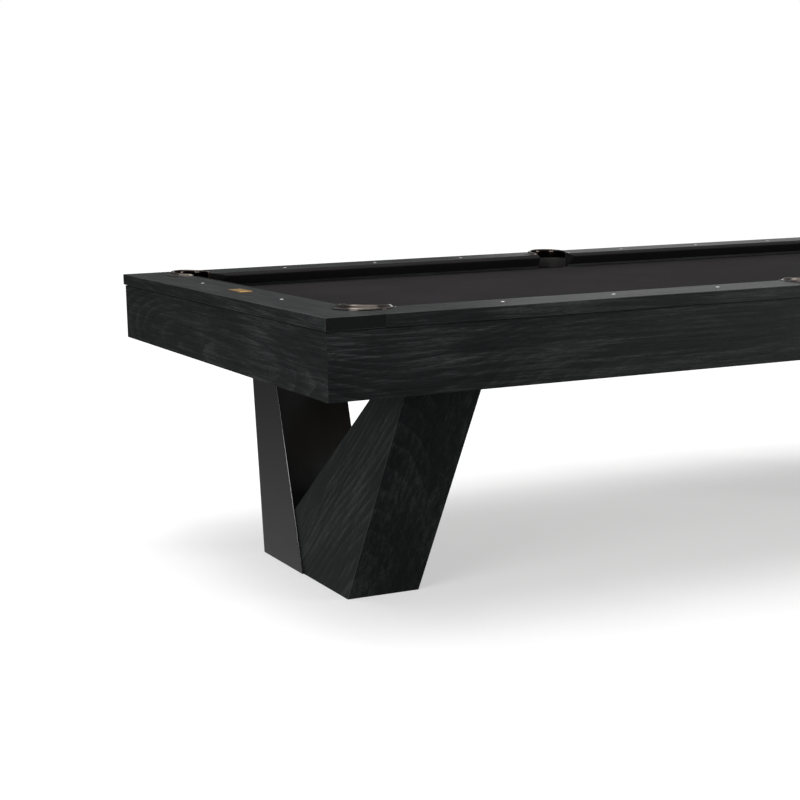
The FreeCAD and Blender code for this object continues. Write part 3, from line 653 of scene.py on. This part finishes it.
def build_rails():
    """Wooden caps with eased edges, and the cloth of every cushion."""
    corner_x = NOSE_X - CORNER_TIP
    corner_y = NOSE_Y - CORNER_TIP
    for side, y_sign in SIDES.items():
        for end, x_sign in ENDS.items():
            label = side + "_" + end
            node = "side_rail_cap_" + label
            solid = cad_solid(node)
            for vertex in solid.verts:
                if abs(abs(vertex.co.x) - CAP_X) < 1e-4:
                    vertex.co.x -= x_sign * BUTT_GAP
            soften(solid, CAP_EDGE)
            clear_edge_highlight(solid)
            finished("cap_" + label, solid, BLACK_WOOD, node, BOARDS["cap_" + side])
            pair = [(x_sign * corner_x, x_sign, CORNER_FLARE), (x_sign * SIDE_TIP, -x_sign, SIDE_FLARE)]
            pair.sort()
            rail_cloth("wrapped_cushion_" + label, "side_rail_cloth_" + label, y_sign, True, pair)
    for end, x_sign in ENDS.items():
        node = "end_rail_cap_" + end
        solid = cad_solid(node)
        soften(solid, CAP_EDGE)
        finished("cap_" + end, solid, BLACK_WOOD, node, BOARDS["cap_" + end])
        pair = [(-corner_y, -1, CORNER_FLARE), (corner_y, 1, CORNER_FLARE)]
        rail_cloth("wrapped_cushion_" + end, "end_rail_cloth_" + end, x_sign, False, pair)


def apron_board(name, node, along_x, sign, board):
    """A mitred apron board with a rebate along its top that leaves a shadow line under the cap."""
    low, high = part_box(node)
    thickness = high.y - low.y if along_x else high.x - low.x
    reach = high.x if along_x else high.y
    outer = high if sign > 0 else low
    face = outer.y if along_x else outer.x
    solid = bmesh.new()
    rings = []
    shadow = high.z - REVEAL
    layers = ((low.z, 0.0), (shadow, 0.0), (shadow, REVEAL_DEPTH), (high.z, REVEAL_DEPTH))
    for height, inset in layers:
        ring = []
        for depth in (inset, thickness):
            out = face - sign * depth
            for end in ((-1, 1) if depth == inset else (1, -1)):
                place = end * (reach - depth)
                ring.append(solid.verts.new((place, out, height) if along_x else (out, place, height)))
        rings.append(ring)
    skin(solid, rings)
    bmesh.ops.dissolve_limit(solid, angle_limit=FLAT_TURN, verts=solid.verts, edges=solid.edges)
    bmesh.ops.recalc_face_normals(solid, faces=solid.faces)
    soften(solid, APRON_EDGE)
    return finished(name, solid, BLACK_WOOD, node, board)


def build_aprons():
    """Four mitred apron boards."""
    for side, sign in SIDES.items():
        apron_board("apron_board_" + side, "apron_" + side, True, sign, BOARDS["side_" + side])
    for end, sign in ENDS.items():
        apron_board("apron_board_" + end, "apron_" + end, False, sign, BOARDS["end_" + end])


def build_sights():
    """Domed pearl discs in a hairline groove."""
    proud = 0.00025  # the disc's rim over the rail
    dome = 0.0005
    parts = []
    for low, high in islands("rail_sights"):
        centre = (low + high) / 2
        groove = (high.x - low.x) / 2
        rim = groove * 0.9
        side = groove * 0.94
        edge = high.z + proud
        outline = [(0.0, low.z), (side, low.z), (side, high.z - 0.0002), (rim, edge)]
        outline += [(rim * math.cos(turn), edge + dome * math.sin(turn)) for turn in (0.35, 0.7, 1.1)]
        outline.append((0.0, edge + dome))
        parts.append(lathe(outline, 32, Vector((centre.x, centre.y, 0)), close=False))
    piece("pearl_sights", joined(parts), PEARL, stands_for=("rail_sights",))


def frustum(middle, low_outline, high_outline, base, height):
    """A closed solid from one outline about middle up to another."""
    solid = bmesh.new()
    skin(solid, [[solid.verts.new((middle.x + x, middle.y + y, base)) for x, y in low_outline],
                 [solid.verts.new((middle.x + x, middle.y + y, height)) for x, y in high_outline]])
    return solid


def rounded(reach_x, reach_y, radius):
    """Outline of a rectangle with round corners."""
    points = []
    for corner, (sign_x, sign_y) in enumerate(((1, 1), (-1, 1), (-1, -1), (1, -1))):
        for step in range(5):
            turn = math.pi / 2 * (corner + step / 4)
            points.append((sign_x * (reach_x - radius) + radius * math.cos(turn),
                           sign_y * (reach_y - radius) + radius * math.sin(turn)))
    return points


def lozenge(reach_x, reach_y):
    """Outline of a diamond."""
    return [(reach_x, 0), (0, reach_y), (-reach_x, 0), (0, -reach_y)]


def build_plaque():
    """A brass plaque with a raised rim, a lozenge in the middle and two screws."""
    low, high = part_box("end_rail_plaque")
    x = (high.x - low.x) / 2
    y = (high.y - low.y) / 2
    middle = (low + high) / 2
    top = high.z
    sunk = top - 0.0008  # foot of everything that stands on the plate
    bevel = 0.0008
    border = 0.003  # plain edge outside the raised rim
    rim_width = 0.0012
    rim_slope = 0.0006
    plate = frustum(middle, rounded(x, y, 0.004), rounded(x - bevel, y - bevel, 0.0035), low.z, top - 0.0006)
    crest = border + rim_slope
    rim = frustum(middle, rounded(x - border, y - border, 0.003), rounded(x - crest, y - crest, 0.003),
                  sunk, top - 0.00015)
    inner = [face for face in rim.faces if all(vertex.co.z > top - 0.0002 for vertex in face.verts)]
    bmesh.ops.inset_individual(rim, faces=inner, thickness=rim_width, depth=-0.0005)
    gem = frustum(middle, lozenge(x * 0.5, y * 0.62), lozenge(x * 0.42, y * 0.55), sunk, top - 0.0001)
    parts = [plate, rim, gem]
    head = [(0.0026, sunk), (0.0026, top - 0.0002), (0.002, top), (0.0, top)]
    for sign in (-1, 1):
        screw = Vector((middle.x, middle.y + sign * (y - 0.009), 0))
        parts.append(lathe(head, 20, screw, close=False))
    piece("rail_plaque", joined(parts), BRASS, stands_for=("end_rail_plaque",))


# --- pockets ---

def pockets():
    """Name, centre, facing angle and rim arc of each pocket."""
    for side, y_sign in SIDES.items():
        for end, x_sign in ENDS.items():
            centre = Vector((x_sign * (NOSE_X + CORNER_BEYOND), y_sign * (NOSE_Y + CORNER_BEYOND), 0))
            yield side + "_" + end, centre, math.atan2(y_sign, x_sign), CORNER_ARC
        centre = Vector((0, y_sign * (NOSE_Y + SIDE_BEYOND), 0))
        yield side + "_side", centre, y_sign * math.pi / 2, SIDE_ARC


IRON_CREST = (  # radius in mm and share of the rise, from the outside to the bore
    (78.0, 0.0), (78.0, 0.10), (77.5, 0.17), (76.2, 0.21), (73.8, 0.235), (71.4, 0.29), (69.4, 0.42),
    (67.8, 0.62), (66.2, 0.82), (64.5, 0.955), (62.6, 1.0), (60.8, 0.96), (59.4, 0.85), (58.6, 0.66),
    (58.2, 0.4), (58.1, 0.15),
)
IRON_SEAT = 0.0002  # the crest's foot over the rail
IRON_MIDDLE = 0.068  # radius towards which the crest narrows at the horns
POCKET_RIBS = 5
STITCHES = 34


def pocket_iron(name, centre, facing, arc):
    """A cast rim: a crowned bead, thick and high at the back, thinning to rounded horns at both ends."""
    low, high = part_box("pocket_iron_" + name)
    rise = high.z - RAIL_TOP - IRON_SEAT
    solid = bmesh.new()
    steps = 84
    rings = []
    for step in range(steps + 1):
        share = 0.5 - 0.5 * math.cos(math.pi * step / steps)
        share = 0.65 * share + 0.35 * step / steps
        taper = min(1.0, min(share, 1 - share) / 0.05)
        shoulder = math.sqrt(max(0.0, 1 - (1 - taper) ** 2))
        crown = rise * (0.5 + 0.5 * math.sin(math.pi * share) ** 1.3) * (0.25 + 0.75 * shoulder)
        spread = 0.45 + 0.55 * shoulder
        skirt = 0.003 * max(0.3, shoulder)
        seat = RAIL_TOP + IRON_SEAT
        section = [(IRON_MIDDLE + (radius / 1000 - IRON_MIDDLE) * spread, seat + crown * lift)
                   for radius, lift in IRON_CREST]
        section += [(POCKET_RADIUS + 0.0006, RAIL_TOP - skirt), (POCKET_RADIUS + 0.0008, low.z + 0.001),
                    (POCKET_RADIUS + 0.0018, low.z), (POCKET_RADIUS + 0.0028, low.z + 0.001),
                    (POCKET_RADIUS + 0.003, RAIL_TOP - 0.0005)]
        rings.append(spoke(solid, centre, facing - arc / 2 + arc * share, section))
    skin(solid, rings)
    return piece("cast_iron_" + name, solid, BRONZE, stands_for=("pocket_iron_" + name,))


def ribbed(radius, depth, low, high, steps):
    """Points up a pocket's wall, swelling and narrowing over its ribs."""
    points = []
    for step in range(steps + 1):
        share = step / steps
        swell = depth * math.cos(math.tau * POCKET_RIBS * share)
        points.append((radius + swell, low + share * (high - low)))
    return points


def pocket_bag(name, centre, facing, arc):
    """A leather drop pocket: a ribbed cup with a rolled rim, and the stitched lining behind the mouth."""
    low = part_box("pocket_bag_" + name)[0].z
    outer = POCKET_RADIUS + 0.003
    inner = POCKET_RADIUS + 0.0002
    rim = BED - 0.0042
    foot = low + 0.02
    head = rim - 0.012
    wall = [(0.0, low), (outer - 0.016, low), (outer - 0.005, low + 0.004), (outer - 0.0008, low + 0.016)]
    wall += ribbed(outer - 0.0007, 0.0006, foot, head, POCKET_RIBS * 6)
    wall += [(outer, rim - 0.006), (outer, rim - 0.001), (outer - 0.0012, rim),
             (inner + 0.0004, rim - 0.0004)]
    wall += reversed(ribbed(inner + 0.0005, 0.0005, foot, head, POCKET_RIBS * 6))
    wall += [(inner - 0.004, low + 0.008), (inner - 0.016, low + 0.0035), (0.0, low + 0.003)]
    cup = lathe(wall, 64, centre, close=False)
    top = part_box("pocket_iron_" + name)[0].z - 0.0002
    back = [(outer, rim - 0.001), (outer, top - 0.001), (outer - 0.001, top), (inner + 0.0008, top),
            (inner, top - 0.0012), (inner, rim - 0.001)]
    start = facing - arc / 2
    parts = [cup, lathe(back, 48, centre, start, arc)]
    for number in range(STITCHES):
        angle = start + arc * (number + 0.5) / STITCHES
        parts.append(stitch(centre, angle, inner - 0.0001, rim + 0.004))
    return piece("leather_pocket_" + name, joined(parts), LEATHER,
                 stands_for=("pocket_bag_" + name,))


def stitch(centre, angle, radius, height):
    """One raised thread of the pocket's lining, lying along the rim."""
    half_length = 0.0019
    thickness = 0.0006
    around = 6
    solid = bmesh.new()
    across = Vector((math.cos(angle), math.sin(angle), 0))
    along = Vector((-math.sin(angle), math.cos(angle), 0))
    up = Vector((0, 0, 1))
    place = centre + across * radius + up * height
    rings = []
    for share in (-1.0, -0.6, 0.0, 0.6, 1.0):
        lift = math.sqrt(max(0.0, 1 - share * share)) * thickness + 0.0001
        turns = [math.tau * step / around for step in range(around)]
        rings.append([solid.verts.new(place + along * share * half_length - across * lift * math.cos(turn)
                                      + up * lift * math.sin(turn)) for turn in turns])
    skin(solid, rings)
    return solid


def build_pockets():
    """An iron and a leather bag at every pocket."""
    for name, centre, facing, arc in pockets():
        pocket_iron(name, centre, facing, arc)
        pocket_bag(name, centre, facing, arc)


# --- bed ---

def bed_outline():
    """The bed cloth's edge, anticlockwise from the near side pocket."""
    reach_y = bed_high.y
    radius = POCKET_RADIUS + 0.0042
    corner_x = NOSE_X + CORNER_BEYOND
    corner_y = NOSE_Y + CORNER_BEYOND
    side = NOSE_Y + SIDE_BEYOND
    steps = 24
    points = []

    def arc(x, y, first, last):
        for step in range(steps + 1):
            angle = first + (last - first) * step / steps
            points.append((x + radius * math.cos(angle), y + radius * math.sin(angle)))

    swing = math.asin((reach_y - side) / radius)
    arc(0, -side, math.pi + swing, -swing)
    points.append((corner_x, -reach_y))
    arc(corner_x, -corner_y, 1.5 * math.pi, 0.0)
    arc(corner_x, corner_y, math.tau, math.pi / 2)
    arc(0, side, swing + math.tau, math.pi - swing)
    arc(-corner_x, corner_y, math.pi / 2 + math.tau, math.pi)
    arc(-corner_x, -corner_y, math.pi, -math.pi / 2)
    return points


def build_bed():
    """The bed cloth laid over the slate and folded down round the pocket cuts."""
    outline = []
    for point in bed_outline():
        if not outline or math.dist(outline[-1], point) > 1e-5:
            outline.append(point)
    solid = bmesh.new()
    roll = 0.0016  # radius of the fold over the slate's edge
    rings = []
    for shift, drop in ((1.0, 0.0), (0.62, 0.0001), (0.28, 0.0005), (0.06, 0.0011), (0.0, 0.002),
                        (0.0, 0.012), (0.0, TURN_DOWN)):
        ring = []
        for number, point in enumerate(outline):
            following = outline[(number + 1) % len(outline)]
            tangent = (Vector(following) - Vector(outline[number - 1])).normalized()
            spot = Vector(point) + Vector((-tangent.y, tangent.x)) * roll * shift
            ring.append(solid.verts.new((spot.x, spot.y, BED - drop)))
        rings.append(ring)
    top = solid.faces.new(rings[0])
    skin(solid, rings, capped=False)
    bmesh.ops.triangulate(solid, faces=[top])
    made = piece("bed_wool_cloth", solid, BED_CLOTH, stands_for=("bed_cloth",))
    return made


# --- fasteners and hidden pieces ---

def hex_head(centre, reach, low, high):
    """A chamfered hexagonal bolt head."""
    solid = bmesh.new()
    chamfer = 0.0012
    rings = [[solid.verts.new((centre.x + reach * share * math.cos(math.tau * step / 6),
                               centre.y + reach * share * math.sin(math.tau * step / 6), height))
              for step in range(6)] for share, height in ((0.86, low), (1.0, low + chamfer), (1.0, high))]
    skin(solid, rings)
    return solid


def build_fasteners():
    """The rail bolts: hexagonal heads under the slates and round shanks up into the sub-rails."""
    shank = 0.005
    point = 0.001  # chamfer at the shank's end
    parts = []
    for low, high in islands("rail_bolts"):
        centre = (low + high) / 2
        radius = (high.x - low.x) / 2
        parts.append(hex_head(centre, radius, low.z, SLATE_BOTTOM))
        outline = [(0.0, SLATE_BOTTOM), (shank, SLATE_BOTTOM), (shank, high.z - point),
                   (shank - point, high.z), (0.0, high.z)]
        parts.append(lathe(outline, 20, Vector((centre.x, centre.y, 0)), close=False))
    piece("rail_bolt_set", joined(parts), ZINC, stands_for=("rail_bolts",), smooth=False)


FINISHES = {
    "frame_side_beams": POPLAR_ALONG_X, "frame_cross_beams": POPLAR_ALONG_Y,
    "corner_blocks": POPLAR_UPRIGHT, "foot_blocks": POPLAR_UPRIGHT,
    "side_cushions": RUBBER, "end_cushions": RUBBER, "cushion_facings": RUBBER,
    "slate_left": SLATE, "slate_middle": SLATE, "slate_right": SLATE,
    "slate_screws": ZINC, "leg_bolts": ZINC, "leg_top_plates": ZINC,
}


def build_hidden():
    """Materials for the CAD pieces that stay as they are, and stained copies of the boards in the rails."""
    for node, material in FINISHES.items():
        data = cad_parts[node].data
        data.materials.clear()
        data.materials.append(material)
    boards = {"side_subrails": "rail_x", "end_subrails": "rail_y", "feather_strips": "rail_x"}
    for node, board in boards.items():
        finished("stained_" + node, cad_solid(node), BLACK_WOOD, node, BOARDS[board])


# --- pedestals ---

def build_pedestals():
    """The wooden and steel slabs, with eased edges."""
    for end in ENDS:
        node = "wood_leg_" + end
        solid = cad_solid(node)
        soften(solid, WOOD_SLAB_EDGE)
        finished("wood_slab_" + end, solid, BLACK_WOOD, node, BOARDS["leg_" + end])
        solid = cad_solid("steel_leg_" + end)
        soften(solid, STEEL_SLAB_EDGE, 0.03)
        finished("steel_slab_" + end, solid, POWDER, "steel_leg_" + end)


THREAD_PITCH = 0.00175
THREAD_DEPTH = 0.001
STUD_PLAY = 0.00005  # between the stud and the pad's bore


def build_feet():
    """Levelling pads with chamfered rims, and studs with turned threads."""
    for end in ENDS:
        for kind in ("wood", "steel"):
            name = end + "_" + kind
            low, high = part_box("foot_pad_" + name)
            centre = Vector(((low.x + high.x) / 2, (low.y + high.y) / 2, 0))
            radius = (high.x - low.x) / 2
            stud_low, stud_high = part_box("foot_stud_" + name)
            stud = (stud_high.x - stud_low.x) / 2
            bore = stud + STUD_PLAY
            outline = [(0.0, low.z), (radius - 0.002, low.z), (radius, low.z + 0.002),
                       (radius, high.z - 0.003), (radius - 0.004, high.z - 0.001), (bore + 0.004, high.z),
                       (bore, high.z), (bore, stud_low.z), (0.0, stud_low.z)]
            piece("levelling_pad_" + name, lathe(outline, 48, centre, close=False), NYLON,
                  "pad_" + name, ("foot_pad_" + name,))
            piece("levelling_stud_" + name, threaded(centre, stud, stud_low.z, stud_high.z), ZINC,
                  "stud_" + name, ("foot_stud_" + name,))


def threaded(centre, radius, low, high):
    """A stud with a helical thread."""
    solid = bmesh.new()
    around = 16
    chamfer = 0.001
    root = radius - THREAD_DEPTH
    end = radius - 0.0015
    tooth = ((root, 0.0), (radius, THREAD_PITCH * 0.45), (root, THREAD_PITCH))
    rings = []
    for row in range(int((high - low - 0.003) / THREAD_PITCH * around)):
        base = low + chamfer + THREAD_PITCH * row / around
        points = [(reach, base + lift) for reach, lift in tooth]
        rings.append(spoke(solid, centre, math.tau * row / around, points))
    skin(solid, rings, closed=False, capped=False)
    core = lathe([(0.0, low), (end, low), (root, low + chamfer), (root, high - chamfer), (end, high),
                  (0.0, high)], 32, centre, close=False)
    return joined([solid, core])


# --- camera, light and floor ---

LENS = 76.75  # mm, on a sensor 36 mm wide
CAMERA = (-2.935, -4.404, 1.211)
YAW = math.radians(65.15)
PITCH = math.radians(-8.63)
ROLL = math.radians(-1.32)
PANELS = (  # name, place, aim, width and height, watts
    ("left_panel", (-4.6, -2.6, 1.2), (-1.3, -0.5, 0.6), (2.2, 1.2), 135),
    ("right_panel", (5.6, -5.2, 1.5), (1.0, 0, 0.6), (2.4, 1.6), 190),
    ("back_panel", (4.6, 6.2, 2.2), (-0.6, -0.4, 0.8), (3.4, 1.4), 22),
    ("top_panel", (-1.4, 0.6, 3.4), (-0.8, 0, 0.8), (2.0, 0.6), 20),
)
SUN = 2.1
SUN_SPREAD = math.radians(70)
SURROUND = (  # height, from 0 straight down to 1 straight up, and brightness
    (0.0, 0.10), (0.37, 0.34), (0.43, 0.09), (0.49, 0.045), (0.57, 0.10), (1.0, 0.72),
)
FLOOR_REACH = 14.0


def build_camera():
    """A long lens from the near left, a little above the rails."""
    data = bpy.data.cameras.new("view")
    data.sensor_width = 36.0
    data.lens = LENS
    camera = placed("view", data)
    forward = Vector((math.cos(PITCH) * math.cos(YAW), math.cos(PITCH) * math.sin(YAW), math.sin(PITCH)))
    level = Vector((math.sin(YAW), -math.cos(YAW), 0))
    upright = level.cross(forward)
    right = level * math.cos(ROLL) + upright * math.sin(ROLL)
    up = upright * math.cos(ROLL) - level * math.sin(ROLL)
    place = Matrix((right, up, -forward)).transposed().to_4x4()
    place.translation = Vector(CAMERA)
    camera.matrix_world = place
    bpy.context.scene.camera = camera


def area_light(name, place, aim, size, power):
    """A soft panel pointing at a place."""
    data = bpy.data.lights.new(name, "AREA")
    data.shape = "RECTANGLE"
    data.size, data.size_y = size
    data.energy = power
    light = placed(name, data)
    light.location = place
    light.rotation_mode = "QUATERNION"
    light.rotation_quaternion = (Vector(aim) - Vector(place)).to_track_quat("-Z", "Y")


def build_stage():
    """A pale floor, four soft panels, a wide sun overhead and the studio round them."""
    solid = bmesh.new()
    corners = ((-1, -1), (1, -1), (1, 1), (-1, 1))
    solid.faces.new([solid.verts.new((x * FLOOR_REACH, y * FLOOR_REACH, 0)) for x, y in corners])
    data = bpy.data.meshes.new("floor")
    solid.to_mesh(data)
    solid.free()
    shader = Shader("pale_floor")
    mottle = shader.noise(shader.place(), 3.0, (1, 1, 1), 3.0)
    tone = shader.ramp(mottle, [(0.3, 0.49), (0.7, 0.52)])
    data.materials.append(shader.set(Base_Color=tone, Roughness=0.9, Specular_IOR_Level=0.1,
                                     Emission_Color=(1.0, 1.0, 1.0), Emission_Strength=0.5))
    floor = placed("floor", data)
    floor.visible_diffuse = False
    floor.visible_glossy = False
    surround()
    for panel in PANELS:
        area_light(*panel)
    sun = bpy.data.lights.new("overhead", "SUN")
    sun.energy = SUN
    sun.angle = SUN_SPREAD
    placed("overhead", sun)
    bpy.context.scene.view_settings.view_transform = "Standard"


def surround():
    """White to the camera; to the object a studio that is bright above and dim below the horizon."""
    world = bpy.data.worlds.new("surround")
    world.use_nodes = True
    tree = world.node_tree
    output = tree.nodes["World Output"]
    seen = tree.nodes["Background"]
    seen.inputs["Color"].default_value = (1.0, 1.0, 1.0, 1.0)
    kinds = ("Background", "TexCoord", "SeparateXYZ", "ValToRGB", "LightPath", "MixShader", "Math")
    nodes = [tree.nodes.new("ShaderNode" + kind) for kind in kinds]
    lit, direction, parts, ramp, rays, choice, height = nodes
    height.operation = "MULTIPLY_ADD"
    height.inputs[1].default_value = 0.5
    height.inputs[2].default_value = 0.5
    fill_ramp(ramp.color_ramp, SURROUND)
    tree.links.new(direction.outputs["Generated"], parts.inputs[0])
    tree.links.new(parts.outputs["Z"], height.inputs[0])
    tree.links.new(height.outputs[0], ramp.inputs["Fac"])
    tree.links.new(ramp.outputs[0], lit.inputs["Color"])
    tree.links.new(rays.outputs["Is Camera Ray"], choice.inputs["Fac"])
    tree.links.new(lit.outputs[0], choice.inputs[1])
    tree.links.new(seen.outputs[0], choice.inputs[2])
    tree.links.new(choice.outputs[0], output.inputs["Surface"])
    bpy.context.scene.world = world


build_camera()
build_stage()
build_rails()
build_aprons()
build_sights()
build_plaque()
build_pockets()
build_bed()
build_fasteners()
build_hidden()
build_pedestals()
build_feet()
